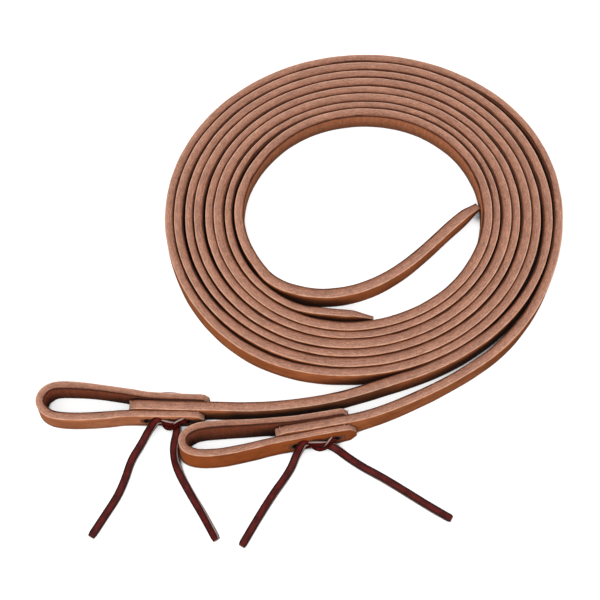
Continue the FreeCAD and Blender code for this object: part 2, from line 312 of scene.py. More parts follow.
def rein_route(side):
    """Control points of one rein, from its cut end to its inner end, with its thickness and lean
    at each."""
    rein = REINS[side]
    middle = STRAP_WIDTH / 2
    cut_end = np.array([*rein["cut_end"], middle])
    along = heading(rein["angle"])
    route = [cut_end] + [cut_end + along * d for d in rein["stack"]]
    route += [(*p, middle) for p in rein["bit_run"] + rein["lead"]]
    thicknesses = [rein["thickness"]] * len(route)
    leans = [lean_at(side, p, True) for p in route]
    count = round((rein["coil_end"] - COIL_START) / COIL_STEP)
    for i in range(count + 1):
        angle = COIL_START + i * COIL_STEP
        place = np.array([*COIL_CENTRE, middle]) + heading(angle) * coil_radius(side, angle)
        route.append(place)
        thicknesses.append(thickness_at(side, angle) - slack(side, angle))
        leans.append(lean_at(side, place, False))
    route += [(*p, middle) for p in rein["tail"]]
    thicknesses += [thicknesses[-1] + TAIL_SWELL] * len(rein["tail"])
    leans += [lean_at(side, p, False) for p in rein["tail"]]
    return route, thicknesses, leans


# The rein's cut end, its direction there, the direction out of the near leg, and how far that
# leg's face lies from the rein's middle
Stack = namedtuple("Stack", "base along out face")


def stack_frame(side):
    rein = REINS[side]
    along = heading(rein["angle"])
    base = np.array([*rein["cut_end"], 0.0])
    return Stack(base, along, -left_of(along), rein["thickness"] / 2 + LOOP_THICKNESS)


def stack_point(side, place):
    """A point given in millimetres along the near leg, out from its face, and up."""
    stack = stack_frame(side)
    u, v, z = (value / 1000 for value in place)
    flat = stack.base + stack.along * u + stack.out * (stack.face + v)
    sag = lean_at(side, flat, True) * (1 - z / STRAP_WIDTH)
    return flat + np.array([0, -sag, z])


# Sections. A row is (across, up, cut): across runs from -1 on the grain face to 1 on the flesh
# face, up from -1 to 1, and cut is 1 on the cut edges and 0 on the faces.

TOP_ROWS = 7  # on each cut edge: five across it, and one on each bevel


def strap_section(half_thickness, face_rows, bevel, crown):
    """Rows round the strap: up the grain face, over the top edge, down the flesh face, and back
    along the bottom edge. The corners are cut off by bevel, and the edges are crowned."""
    side = 1 - bevel / half_thickness
    top = 1 - crown
    slope = 1 - crown * 0.35  # half way from the crown to the bevel
    upper = [(-side, top, 1.0), (-side * 0.5, slope, 1.0), (0.0, 1.0, 1.0),
             (side * 0.5, slope, 1.0), (side, top, 1.0)]
    shoulder = (1 + side) / 2 + 0.25 * (1 - side)
    brow = (top + face_rows[-1]) / 2 + 0.3 * (top - face_rows[-1])
    edge = [(-shoulder, brow, 0.5)] + upper + [(shoulder, brow, 0.5)]
    rows = [(-1.0, h, 0.0) for h in face_rows] + edge
    rows += [(1.0, h, 0.0) for h in reversed(face_rows)]
    rows += [(-a, -h, c) for a, h, c in edge]
    return np.array(rows)


def mirrored(values):
    return [-v for v in reversed(values)] + [0.0] + list(values)


STRAP_ROWS = mirrored([0.157, 0.307, 0.457, 0.614, 0.748, 0.795, 0.843, 0.905])
CREASE_ROW = 0.795  # the creased line that runs along each margin of the grain face
CREASE_DEPTH = 0.00016
LACE_ROWS = mirrored([0.4, 0.72])


# Sweeping a section along a line

# Waves of the surface: (scales for wobble, what is added to the piece's seed)
SLOW_WAVES = ((90, 160, 160), 0)
QUICK_WAVES = ((700, 900, 900), 31)
FOLD_WAVES = ((420, 60, 60), 57)
FINE_FOLD_WAVES = ((900, 120, 120), 73)
FINE_FOLD_SHARE = 0.5
FACE_SHARE = 0.4  # of the quick waves' height on the cut edges, on the faces
EDGE_SHARE = 0.6  # of the height of all waves, for raising the cut edges
CREASE_SPREAD = 0.03  # the crease's half breadth, as a share of the half width
GRAIN_ROWS = -0.9  # a section's rows on the grain face lie below this across it,
FLESH_ROWS = 0.8  # and those on the flesh face above this

END_RINGS = ((0.93, 0.6), (0.6, 1.0))  # past each end: (size, how far out) of each ring
END_WAVES = 900
END_ROUGHNESS = 0.7


def wobble(places, scales, seed):
    """Smooth noise at each place, with features of 1/scale metres in each direction."""
    return np.array([noise.noise(Vector((x * scales[0] + seed, y * scales[1], z * scales[2])))
                     for x, y, z in places.reshape(-1, 3)]).reshape(places.shape[:-1])


def waves(places, kind, seed):
    scales, shift = kind
    return wobble(places, scales, seed + shift)


def end_profile(station, start, end):
    """How much the shaped ends take off the half width at each station. Each end is (reach,
    drop, whether it is round)."""
    lost = np.zeros_like(station)
    for (reach, drop, rounded), gap in ((start, station), (end, station[-1] - station)):
        near = np.clip(1 - gap / reach, 0, 1)
        slope = 1 - np.sqrt(1 - near ** 2) if rounded else near
        lost = np.maximum(lost, drop * slope)
    return lost


def ring_grid(line, up, half_thickness, half_width, section, looks, seed):
    """Vertices of the swept section and its ends, and what the materials read: each vertex's
    place on the straight strap, and its (cut, across, up) in the section."""
    tangent = unit_rows(np.gradient(line, axis=0))
    up = unit_rows(up - tangent * np.sum(up * tangent, axis=1, keepdims=True))
    left = np.cross(up, tangent)
    station = distances(line)
    turning = np.gradient(np.unwrap(np.arctan2(tangent[:, 1], tangent[:, 0])), station)
    side, height, cut = section.T
    across = side[None] * half_thickness[:, None]
    rise = height[None] * half_width[:, None]
    run = np.broadcast_to(station[:, None], across.shape)
    places = np.stack([run, across, rise], axis=2)
    slow = looks["slow"] * waves(places, SLOW_WAVES, seed)
    quick = looks["quick"] * waves(places, QUICK_WAVES, seed)
    relief = slow + quick * (FACE_SHARE + (1 - FACE_SHARE) * cut[None])
    if looks["creased"]:
        groove = np.exp(-((np.abs(height) - CREASE_ROW) / CREASE_SPREAD) ** 2)
        relief = relief - CREASE_DEPTH * (groove * (side < GRAIN_ROWS))[None]
    folds = waves(places, FOLD_WAVES, seed)
    folds = folds + FINE_FOLD_SHARE * waves(places, FINE_FOLD_WAVES, seed)
    bent = np.clip(turning * looks["fold_radius"], 0, 1.0)
    relief = relief + looks["folds"] * bent[:, None] * folds * (side > FLESH_ROWS)[None]
    across = across + relief * side[None]
    rise = rise + EDGE_SHARE * relief * np.sign(height)[None] * cut[None]
    grid = line[:, None] + left[:, None] * across[..., None] + up[:, None] * rise[..., None]
    grid[..., 2] = np.maximum(grid[..., 2], 0.0)
    marks = [np.broadcast_to(v[None], across.shape) for v in (cut, side, height)]
    return end_rings(grid, places, np.stack(marks, axis=2), tangent, looks["end"], seed)


def end_rings(grid, places, marks, tangent, bulge_out, seed):
    """Adds a slightly rounded, torn-looking end past each end of the grid."""
    for first in (True, False):
        index = 0 if first else -1
        ring = grid[index]
        centre = ring.mean(axis=0)
        outward = tangent[index] * (-1 if first else 1)
        for share, push in END_RINGS:
            rough = np.array([noise.noise(Vector(p * END_WAVES + seed)) for p in ring])
            out = outward * bulge_out * (push + END_ROUGHNESS * rough[:, None])
            cap = centre + (ring - centre) * share + out
            cap[:, 2] = np.maximum(cap[:, 2], 0.0)
            cap_marks = marks[index].copy()
            cap_marks[:, 0] = 1.0
            cap_marks[:, 1:] *= share
            parts = ((grid, cap), (places, places[index]), (marks, cap_marks))
            if first:
                grid, places, marks = (np.concatenate([new[None], old]) for old, new in parts)
            else:
                grid, places, marks = (np.concatenate([old, new[None]]) for old, new in parts)
    return grid, places, marks


# Meshes

HOLE_SPAN = 4  # a hole takes the place of this many faces of the grid each way
SHARP_ANGLE = 50  # degrees
UP = np.array([0.0, 0.0, 1.0])


def hole_rim(ring, row):
    """Ring and row of the vertices round a hole, from its first corner on."""
    rim = []
    for ring_step, row_step in ((1, 0), (0, 1), (-1, 0), (0, -1)):
        for i in range(HOLE_SPAN):
            rim.append((ring, row))
            ring, row = ring + ring_step, row + row_step
    return rim


def shape_rim(grid, marks, rim, centre, out):
    """Moves the vertices of a rim onto the hole's oval, in the plane of the leaning face."""
    flat = np.array([grid[r, c] for r, c in rim])
    middle = centre + out * (np.mean(flat, axis=0) - centre).dot(out)
    along = np.cross(out, UP)
    offsets = flat - middle
    heights = offsets @ UP
    slope = (offsets @ out) @ heights / (heights @ heights)
    for offset, (r, c) in zip(offsets, rim):
        spoke = np.array([offset.dot(along), offset.dot(UP)])
        spoke *= np.array(HOLE_RADII) / np.linalg.norm(spoke)
        grid[r, c] = middle + along * spoke[0] + (UP + out * slope) * spoke[1]
        marks[r, c] = HOLE_MARK


def write_attributes(mesh, places, marks):
    for label, values in (("strap", places), ("place", marks)):
        attribute = mesh.attributes.new(label, "FLOAT_VECTOR", "POINT")
        attribute.data.foreach_set("vector", np.array(values, np.float32).ravel())


def build_mesh(name, grid, places, marks, holes):
    """Turns a grid of rings into a closed mesh, with oval holes through both of its faces. A hole
    is (first ring, first row on each face, centre, direction out)."""
    rings, count = grid.shape[:2]
    faces = []
    skipped = set()
    used = np.ones((rings, count), bool)
    walls = []
    for ring, rows, centre, out in holes:
        rims = [hole_rim(ring, row) for row in rows]
        for row, rim in zip(rows, rims):
            shape_rim(grid, marks, rim, centre, out)
            skipped.update((ring + i, row + j) for i in range(HOLE_SPAN) for j in range(HOLE_SPAN))
            used[ring + 1:ring + HOLE_SPAN, row + 1:row + HOLE_SPAN] = False
        walls.append([[r * count + c for r, c in rim] for rim in rims])
    for r in range(rings - 1):
        for c in range(count):
            if (r, c) not in skipped:
                a, b = r * count + c, r * count + (c + 1) % count
                faces.append((a, b, b + count, a + count))
    faces.append(tuple(reversed(range(count))))
    faces.append(tuple((rings - 1) * count + c for c in range(count)))
    points = grid.reshape(-1, 3)
    for near, far in walls:
        matched = [min(far, key=lambda k: np.linalg.norm(points[k] - points[i])) for i in near]
        for k in range(len(near)):
            n = (k + 1) % len(near)
            faces.append((near[k], near[n], matched[n], matched[k]))
    used = used.ravel()
    renumber = np.cumsum(used) - 1
    mesh = bpy.data.meshes.new(name)
    mesh.from_pydata(points[used].tolist(), [], [[int(renumber[i]) for i in f] for f in faces])
    write_attributes(mesh, places.reshape(-1, 3)[used], marks.reshape(-1, 3)[used])
    mesh.polygons.foreach_set("use_smooth", [True] * len(mesh.polygons))
    mesh.set_sharp_from_angle(angle=math.radians(SHARP_ANGLE))
    mesh.validate()
    return mesh


def new_object(name, mesh, material):
    piece = bpy.data.objects.new(name, mesh)
    mesh.materials.append(material)
    bpy.context.scene.collection.objects.link(piece)
    return piece


def hole_list(side, line, offset):
    """Where the lace goes through the stretch of this line that lies offset out from the stack's
    middle, in build_mesh's terms."""
    stack = stack_frame(side)
    height = REINS[side]["hole_height"]
    share = (height - STRAP_WIDTH / 2) / (STRAP_WIDTH / 2)
    rows = len(STRAP_ROWS)
    row = int(np.argmin([abs(h - share) for h in STRAP_ROWS])) - HOLE_SPAN // 2
    mirror_row = rows + TOP_ROWS + (rows - 1 - (row + HOLE_SPAN))
    found = []
    for distance in HOLE_DISTANCES:
        place = (distance * 1000, (offset - stack.face) * 1000, height * 1000)
        centre = stack_point(side, place)
        ring = int(np.argmin(np.linalg.norm(line - centre, axis=1))) - HOLE_SPAN // 2
        found.append((ring, (row, mirror_row), centre, stack.out))
    return found


# Materials

# Noise on the leather: (scales along, across and up the strap, detail, roughness)
LEATHER_PATTERNS = {
    "fibres": ((420, 2300, 2300), 4.0, 0.75),
    "specks": ((1500, 2600, 2600), 3.0, 0.75),
    "patches": ((38, 200, 110), 2.0, 0.6),
    "blotches": ((170, 420, 330), 3.0, 0.65),
    "pores": ((2600, 2600, 2600), 2.0, 0.6),
    "ripples": ((75, 60, 60), 3.0, 0.6),
    "gap_shade_patches": ((14, 9, 9), 2.0, 0.6),
    "creases": ((1100, 160, 130), 3.0, 0.65),
}
# What shades each surface: (a value, its low, its high, the factors there)
EDGE_SHADES = [("fibres", 0.28, 0.72, 0.66, 1.30), ("specks", 0.28, 0.72, 0.68, 1.28)]
EDGE_SHADES_AFTER_GAP_SHADE = [("blotches", 0.25, 0.75, 0.88, 1.10), ("patches", 0.3, 0.7, 0.90, 1.06)]
# On the grain face, the height row is painted shade, darker towards the floor
GRAIN_SHADES = [("pores", 0.2, 0.8, 0.84, 1.12), ("blotches", 0.25, 0.75, 0.84, 1.12),
                ("groove", 0.0, 0.06, 0.62, 1.0), ("height", -1.0, -0.2, 0.74, 1.0)]
# On the flesh face, the height rows are painted shade, darker towards the floor and towards the top
# edge by the gap's dark line; the run row is painted light, lighter on the innermost turns, whose
# inner face stands open
FLESH_SHADES = [("creases", 0.3, 0.7, 0.84, 1.10), ("specks", 0.28, 0.72, 0.85, 1.12),
                ("height", -1.0, 0.7, 0.45, 1.0), ("height", 0.76, 0.94, 1.0, 0.25),
                ("run", 1.2, 1.6, 1.0, 1.26)]
# The other spans are (low, high) of a value, and what it turns into there, if not 0 and 1
FACES = (-0.2, 0.2)  # across the strap, from the grain face's look to the flesh face's
LIGHT_SPAN = (0.3, 0.7)  # of a pattern, from the darker to the lighter of two colours
EDGE_GRAIN_SIDE = (-0.05, -0.9)
EDGE_FLESH_SIDE = (0.30, 0.72)
RIPPLE = (0.3, 0.7, -0.16, 0.16)
SPLIT_PLACE = 0.22  # the layers of the leather part in a darker line along a cut edge
SPLIT_SHADE = (0.0, 0.16, 0.80, 1.0)
# Painted shade of the gaps between the wraps: where it lies across the cut edge, by the flesh side,
# and the patches that make it uneven
GAP_SHADE_SIDE = (0.65, 0.86)
GAP_SHADE_PATCHES = (0.35, 0.60, 0.40, 1.0)
FACE_TO_CUT = (0.4, 0.95)
# Painted shadow: how dark the grain face grows along the spans that leather's last argument gives
PAINTED_SHADOW_SHADE = (0.0, 1.0, 1.0, 0.42)
# The pale bevel by the grain face: a painted highlight
LIGHT_BEVEL_CUT = 0.55
LIGHT_BEVEL_SPREAD = (0.4, 0.1)
LIGHT_BEVEL_SIDE = (-0.3, -0.7)
LIGHT_BEVEL_PATCHES = (0.3, 0.65, 0.25, 0.9)
# The dark bevel by the flesh face: painted shade of the gap beside it
DARK_BEVEL_CUTS = ((0.95, 0.5), (0.0, 0.4))
DARK_BEVEL_SIDE = (0.3, 0.7)
SHELTER_FOR_PAINTED_SHADE = (0.012, 6)  # reach and samples: painted shade, the leather darker where other pieces lie around it
PAINTED_SHELTER_SHADE = (0.08, 0.58, 0.11, 1.0)
LEATHER_ROUGHNESS = (0.52, 0.88)  # of the grain face and the flesh face
CUT_ROUGHNESS = 0.2  # what a cut edge adds
PATCH_ROUGHNESS = (0.2, 0.8, -0.06, 0.08)
CUT_FIBRES = 1.4  # heights of the patterns in the relief
PORE_HEIGHT = 0.35
CREASE_HEIGHT = (-0.2, 0.4, 0.15, 0.6)
LEATHER_RELIEF = 0.00025
LEATHER_GLOSS = 0.35

EDGE_COLOURS = {
    "flesh_side": (0.25, 0.090, 0.046, 1),
    "middle": (0.385, 0.181, 0.118, 1),
    "grain_side": (0.44, 0.220, 0.146, 1),
    # painted highlight on the bevel by the grain face
    "bevel_painted_highlight": (0.66, 0.42, 0.31, 1),
    # painted shade: the dark line of the gaps between the wraps, and the dark bevel by the flesh
    # face
    "painted_gap_shade": (0.042, 0.009, 0.004, 1),
}
REIN_COLOURS = {
    "grain": ((0.42, 0.118, 0.034, 1), (0.61, 0.190, 0.066, 1)),
    "flesh": ((0.40, 0.125, 0.052, 1), (0.66, 0.24, 0.110, 1)),
}
LEATHERS = {
    # The left rein's grain face carries a painted shadow of the right loop, which stands beside it
    "left_rein": {**REIN_COLOURS, "offset": 0.0, "painted_shadow_run": ((0.046, 0.058), (0.155, 0.125))},
    "right_rein": {**REIN_COLOURS, "offset": 3.0},
    "left_loop": {"grain": ((0.52, 0.168, 0.066, 1), (0.72, 0.262, 0.115, 1)),
                  "flesh": ((0.20, 0.042, 0.014, 1), (0.36, 0.090, 0.034, 1)), "offset": 5.0},
    "right_loop": {"grain": ((0.31, 0.072, 0.014, 1), (0.44, 0.106, 0.024, 1)),
                   "flesh": ((0.17, 0.036, 0.012, 1), (0.30, 0.072, 0.026, 1)), "offset": 9.0},
}

LACE_PATTERNS = {
    "fibres": ((500, 2600, 2600), 3.0, 0.7),
    "blotches": ((240, 500, 500), 2.0, 0.6),
    "pores": ((3200, 3200, 3200), 2.0, 0.6),
}
LACE_COLOURS = {
    "grain": ((0.046, 0.003, 0.002, 1), (0.112, 0.008, 0.006, 1)),
    "margin": (0.012, 0.002, 0.002, 1),
    "flesh": ((0.035, 0.022, 0.020, 1), (0.10, 0.062, 0.058, 1)),
    # The cut sides: pale by the grain face, a painted highlight, and dark by the flesh face,
    # painted shade
    "grain_side": (0.50, 0.34, 0.30, 1),
    "flesh_side": (0.06, 0.035, 0.030, 1),
}
LACE_MARGIN = (0.30, 0.80)
LACE_PORE_SHADE = (0.2, 0.8, 0.75, 1.2)
LACE_SIDES = (-0.5, 0.5)
LACE_SIDE_FIBRES = (0.25, 0.7)
LACE_SIDE_DARK = 0.55
LACE_FACE_TO_CUT = (0.45, 0.9)
LACE_ROUGHNESS = (0.42, 0.8)
LACE_CUT_ROUGHNESS = 0.25
LACE_PORE_HEIGHT = 0.4
LACE_RELIEF = 0.00012
LACE_GLOSS = 0.10

FLOOR_COLOUR = (0.62, 0.62, 0.62, 1)
# Painted shade: the floor's colour in the narrow gaps between the straps, where it doesn't glow
FLOOR_PAINTED_GAP_SHADE = (0.03, 0.008, 0.003, 1)
FLOOR_GAP = (0.007, 16)  # reach and samples of the shelter that finds the gaps
FLOOR_BARE = (0.30, 0.46)
FLOOR_GLOW = 0.60
FLOOR_MOTTLE = (0.2, 0.8, 0.985, 1.0)


class Nodes:
    """Adds shader nodes to a new material and links them."""

    def __init__(self, name):
        self.material = bpy.data.materials.new(name)
        self.material.use_nodes = True
        self.tree = self.material.node_tree
        self.tree.nodes.clear()

    def add(self, kind, inputs=(), **settings):
        node = self.tree.nodes.new(kind)
        for key, value in settings.items():
            setattr(node, key, value)
        for key, value in dict(inputs).items():
            if isinstance(value, bpy.types.NodeSocket):
                self.tree.links.new(value, node.inputs[key])
            else:
                node.inputs[key].default_value = value
        return node

    def attribute(self, name):
        return self.add("ShaderNodeAttribute", attribute_name=name).outputs["Vector"]

    def parts(self, vector):
        return list(self.add("ShaderNodeSeparateXYZ", {0: vector}).outputs)

    def math(self, operation, first, *others):
        """Applied to the first two values, then to the result and the next one."""
        for other in others:
            inputs = {0: first, 1: other}
            first = self.add("ShaderNodeMath", inputs, operation=operation).outputs[0]
        return first

    def size(self, value):
        return self.math("ABSOLUTE", value, 0.0)

    def ramp(self, value, low, high, to_low=0.0, to_high=1.0):
        inputs = {"Value": value, "From Min": low, "From Max": high,
                  "To Min": to_low, "To Max": to_high}
        node = self.add("ShaderNodeMapRange", inputs, interpolation_type="SMOOTHSTEP")
        return node.outputs["Result"]

    def mix(self, share, first, second, blend="MIX"):
        inputs = {0: share, 6: first, 7: second}
        node = self.add("ShaderNodeMix", inputs, data_type="RGBA", blend_type=blend)
        return node.outputs[2]

    def vector(self, operation, first, second):
        node = self.add("ShaderNodeVectorMath", {0: first, 1: second}, operation=operation)
        return node.outputs[0]

    def noise(self, vector, scales, detail, rough):
        inputs = {"Vector": self.vector("MULTIPLY", vector, scales), "Scale": 1.0,
                  "Detail": detail, "Roughness": rough}
        return self.add("ShaderNodeTexNoise", inputs).outputs["Fac"]

    def shelter(self, reach, samples):
        """1 in the open, and less where something lies within reach."""
        node = self.add("ShaderNodeAmbientOcclusion", {"Distance": reach}, samples=samples)
        return node.outputs["AO"]

    def shade(self, colour, factor):
        """The colour times a grey factor."""
        grey = self.add("ShaderNodeCombineColor", {0: factor, 1: factor, 2: factor}).outputs[0]
        return self.mix(1.0, colour, grey, "MULTIPLY")

    def shades(self, colour, rows, values):
        for name, *span in rows:
            colour = self.shade(colour, self.ramp(values[name], *span))
        return colour

    def finish(self, colour, roughness, height, depth, **settings):
        bump = self.add("ShaderNodeBump", {"Height": height, "Distance": depth, "Strength": 1.0})
        inputs = {"Base Color": colour, "Roughness": roughness, "Normal": bump.outputs[0]}
        inputs.update(settings)
        shader = self.add("ShaderNodeBsdfPrincipled", inputs)
        output = self.add("ShaderNodeOutputMaterial")
        self.tree.links.new(shader.outputs[0], output.inputs["Surface"])
        return self.material


def leather(name, grain, flesh, offset, painted_shadow_run=None):
    """Russet harness leather: a smooth grain face, a fibrous flesh face and paler cut edges.
    grain and flesh are (dark, light) colours, and offset sets the patterns apart from another
    strap's. The grain face is darker along the spans of the last argument, a painted shadow of a
    piece beside the strap: the spans in metres where that comes and goes."""
    n = Nodes(name)
    strap = n.attribute("strap")
    run = n.parts(strap)[0]
    strap = n.vector("ADD", strap, (offset, 0, 0))
    cut, side, height = n.parts(n.attribute("place"))
    values = {key: n.noise(strap, *pattern) for key, pattern in LEATHER_PATTERNS.items()}
    groove = n.size(n.math("SUBTRACT", n.size(height), CREASE_ROW))
    values.update({"height": height, "run": run, "groove": groove})

    edge = EDGE_COLOURS
    outer = n.mix(n.ramp(side, *EDGE_GRAIN_SIDE), edge["middle"], edge["grain_side"])
    edge_colour = n.mix(n.ramp(side, *EDGE_FLESH_SIDE), outer, edge["flesh_side"])
    edge_colour = n.shades(edge_colour, EDGE_SHADES, values)
    uneven_side = n.math("ADD", side, n.ramp(values["ripples"], *RIPPLE))
    split = n.size(n.math("SUBTRACT", uneven_side, SPLIT_PLACE))
    edge_colour = n.shade(edge_colour, n.ramp(split, *SPLIT_SHADE))
    # Painted shade: the dark line of the gap between the wraps, in uneven patches on the cut edge's
    # flesh side
    painted_gap_shade = n.math("MULTIPLY", n.ramp(uneven_side, *GAP_SHADE_SIDE),
                   n.ramp(values["gap_shade_patches"], *GAP_SHADE_PATCHES))
    edge_colour = n.mix(painted_gap_shade, edge_colour, edge["painted_gap_shade"])
    edge_colour = n.shades(edge_colour, EDGE_SHADES_AFTER_GAP_SHADE, values)

    grain_colour = n.mix(n.ramp(values["patches"], *LIGHT_SPAN), *grain)
    grain_colour = n.shades(grain_colour, GRAIN_SHADES, values)
    # Painted shadow on the grain face along the given spans, where another piece shades it
    if painted_shadow_run:
        dark = n.math("MULTIPLY", *(n.ramp(run, *span) for span in painted_shadow_run))
        grain_colour = n.shade(grain_colour, n.ramp(dark, *PAINTED_SHADOW_SHADE))
    flesh_colour = n.mix(n.ramp(values["fibres"], *LIGHT_SPAN), *flesh)
    flesh_colour = n.shades(flesh_colour, FLESH_SHADES, values)
    face = n.mix(n.ramp(side, *FACES), grain_colour, flesh_colour)

    colour = n.mix(n.ramp(cut, *FACE_TO_CUT), face, edge_colour)
    # Painted highlight on the bevel by the grain face
    bevel = n.ramp(n.size(n.math("SUBTRACT", cut, LIGHT_BEVEL_CUT)), *LIGHT_BEVEL_SPREAD)
    bevel_painted_highlight = n.math("MULTIPLY", bevel, n.ramp(side, *LIGHT_BEVEL_SIDE),
                         n.ramp(values["blotches"], *LIGHT_BEVEL_PATCHES))
    colour = n.mix(bevel_painted_highlight, colour, edge["bevel_painted_highlight"])
    # Painted shade on the bevel by the flesh face, which borders the gap between the wraps
    upper, lower = DARK_BEVEL_CUTS
    bevel_painted_shade = n.math("MULTIPLY", n.ramp(cut, *upper), n.ramp(side, *DARK_BEVEL_SIDE),
                        n.ramp(cut, *lower))
    colour = n.mix(bevel_painted_shade, colour, edge["painted_gap_shade"])
    # Painted shade: darker where other pieces lie within reach, as in the gaps between the wraps
    colour = n.shade(colour, n.ramp(n.shelter(*SHELTER_FOR_PAINTED_SHADE), *PAINTED_SHELTER_SHADE))

    roughness = n.math("ADD", n.ramp(side, *FACES, *LEATHER_ROUGHNESS),
                       n.math("MULTIPLY", cut, CUT_ROUGHNESS),
                       n.ramp(values["blotches"], *PATCH_ROUGHNESS))
    fibrous = n.math("ADD", n.math("MULTIPLY", cut, CUT_FIBRES), n.ramp(side, 0, 1))
    relief = n.math("ADD", n.math("MULTIPLY", values["fibres"], fibrous),
                    n.math("MULTIPLY", values["pores"], PORE_HEIGHT),
                    n.math("MULTIPLY", values["specks"], cut),
                    n.math("MULTIPLY", values["creases"], n.ramp(side, *CREASE_HEIGHT)))
    gloss = {"Specular IOR Level": LEATHER_GLOSS}
    return n.finish(colour, roughness, relief, LEATHER_RELIEF, **gloss)


def lace_leather(name):
    """Dark burgundy lace: smooth grain with nearly black margins, grey flesh and cut sides."""
    n = Nodes(name)
    strap = n.attribute("strap")
    cut, side, height = n.parts(n.attribute("place"))
    values = {key: n.noise(strap, *pattern) for key, pattern in LACE_PATTERNS.items()}
    colours = LACE_COLOURS
    grain = n.mix(n.ramp(values["blotches"], *LIGHT_SPAN), *colours["grain"])
    grain = n.mix(n.ramp(n.size(height), *LACE_MARGIN), grain, colours["margin"])
    grain = n.shade(grain, n.ramp(values["pores"], *LACE_PORE_SHADE))
    flesh = n.mix(n.ramp(values["fibres"], *LIGHT_SPAN), *colours["flesh"])
    # Painted highlight and shade on the cut sides: pale by the grain face, dark by the flesh face
    painted_lit_sides = n.mix(n.ramp(side, *LACE_SIDES), colours["grain_side"], colours["flesh_side"])
    fibre_light = n.ramp(values["fibres"], *LACE_SIDE_FIBRES)
    sides = n.mix(fibre_light, n.shade(painted_lit_sides, LACE_SIDE_DARK), painted_lit_sides)
    face = n.mix(n.ramp(side, *FACES), grain, flesh)
    colour = n.mix(n.ramp(cut, *LACE_FACE_TO_CUT), face, sides)
    roughness = n.math("ADD", n.ramp(side, *FACES, *LACE_ROUGHNESS),
                       n.math("MULTIPLY", cut, LACE_CUT_ROUGHNESS))
    fibrous = n.math("ADD", cut, n.ramp(side, 0, 1))
    relief = n.math("ADD", n.math("MULTIPLY", values["fibres"], fibrous),
                    n.math("MULTIPLY", values["pores"], LACE_PORE_HEIGHT))
    gloss = {"Specular IOR Level": LACE_GLOSS}
    return n.finish(colour, roughness, relief, LACE_RELIEF, **gloss)


def floor_material():
    """A pale matt board that glows a little; in the gaps between the straps, painted shade."""
    n = Nodes("floor")
    here = n.add("ShaderNodeTexCoord").outputs["Object"]
    mottle = n.noise(here, (6, 6, 6), 2.0, 0.6)
    bare = n.ramp(n.shelter(*FLOOR_GAP), *FLOOR_BARE)
    colour = n.mix(bare, FLOOR_PAINTED_GAP_SHADE, FLOOR_COLOUR)
    colour = n.shade(colour, n.ramp(mottle, *FLOOR_MOTTLE))
    glow = {"Emission Color": (1, 1, 1, 1),
            "Emission Strength": n.math("MULTIPLY", bare, FLOOR_GLOW)}
    return n.finish(colour, 0.9, mottle, 0.0, **glow)


# Pieces

# Heights of the waves and folds on the surface in metres; whether it has a crease; the radius of
# the bend at which the folds stand full; and how far the rounded ends stand out
STRAP_LOOKS = {"slow": 0.00016, "quick": 0.00006, "creased": True, "folds": 0.0005,
               "fold_radius": 0.006, "end": 0.0003}
LACE_LOOKS = {"slow": 0.00012, "quick": 0.00005, "creased": False, "folds": 0.0,
              "fold_radius": 0.0, "end": 0.0002}
STRAP_BEVEL = 0.00075
LOOP_BEVEL = STRAP_BEVEL * 0.85
LACE_BEVEL = 0.00035
STRAP_CROWN = 0.022  # shares of the half width
LACE_CROWN = 0.05
STRAND_SEED_STEP = 11.0  # from one strand of a knot to the next
STRAP_STEPS = 12  # rings from one control point to the next
LOOP_STEPS = 24
LACE_STEPS = 12
TIP_SHAPE = (0.010, 0.005, False)  # ends, in end_profile's terms
CUT_SHAPE = (0.0014, 0.0012, True)
LEG_SHAPE = (0.0048, 0.0042, True)
LACE_END_SHAPE = (0.0008, 0.0004, True)
TIP_SKIVE_REACH = 0.016  # over this length the inner tip loses its tip_skive
LOOP_PLAIN_POINTS = (4, 2)  # control points of the far and the near leg, before the swell

# Torn fibres at the cut ends. Spots are (back from the leg's end, out from the rein's face), and
# for the rein (from its cut end, share of its half thickness).
NEAR_TUFTS = [(0.0034, LOOP_THICKNESS / 2), (0.0056, 0.0002), (0.0022, 0.0003)]
FAR_TUFTS = [(0.0030, LOOP_THICKNESS / 2), (0.0012, 0.0004)]
REIN_TUFTS = [(0.0012, -0.4), (0.0008, 0.5)]
TUFT_FIBRES = 3  # at each spot
TUFT_DRAWS = (3.7, 5.3)  # steps through the noise, from fibre to fibre and draw to draw
TUFT_APART = 0.003  # between the fibres' places in the leather's patterns
TUFT_SPREAD = (1.1, 0.9)  # along and across, in millimetres
TUFT_ROOT = 12.3  # above the table, in millimetres
TUFT_REACH = (0.00077, 0.00055)  # the least, and what the draw adds
TUFT_TURN = 2.4  # radians from one fibre's direction to the next
TUFT_SIZE = (0.00045, 0.0001575, 0.0007)  # breadth, depth and rise
TUFT_ROWS = [(0.0, 0.0, 1.0), (0.35, 0.45, 0.9), (0.75, 0.62, 0.6), (1.0, 0.50, 0.15)]
TUFT_MARK = (1.0, -0.9, 1.0)  # cut, across and up: as the cut edge by the grain face


def values_through(values, steps):
    return line_through([(value, 0, 0) for value in values], steps)[:, 0]


def make_rein(side, material, seed):
    rein = REINS[side]
    name = side + "_rein"
    route, thicknesses, leans = rein_route(side)
    route, widths = leaning(route, leans)
    line = line_through(route, STRAP_STEPS)
    up = line_through(widths, STRAP_STEPS)
    thick = values_through(thicknesses, STRAP_STEPS)
    station = distances(line)
    skived = [smooth_share(s, station[-1] - TIP_SKIVE_REACH, station[-1]) for s in station]
    thick *= 1 - rein["tip_skive"] * np.array(skived)
    half_width = STRAP_WIDTH / 2 - end_profile(station, CUT_SHAPE, TIP_SHAPE)
    section = strap_section(rein["thickness"] / 2, STRAP_ROWS, STRAP_BEVEL, STRAP_CROWN)
    grid, places, marks = ring_grid(line, up, thick / 2, half_width, section, STRAP_LOOKS, seed)
    holes = hole_list(side, grid.mean(axis=1), 0.0)
    piece = new_object(name, build_mesh(name, grid, places, marks, holes), material)
    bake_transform(piece)
    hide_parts(side + "_rein_strap", side + "_rein_bit_end")


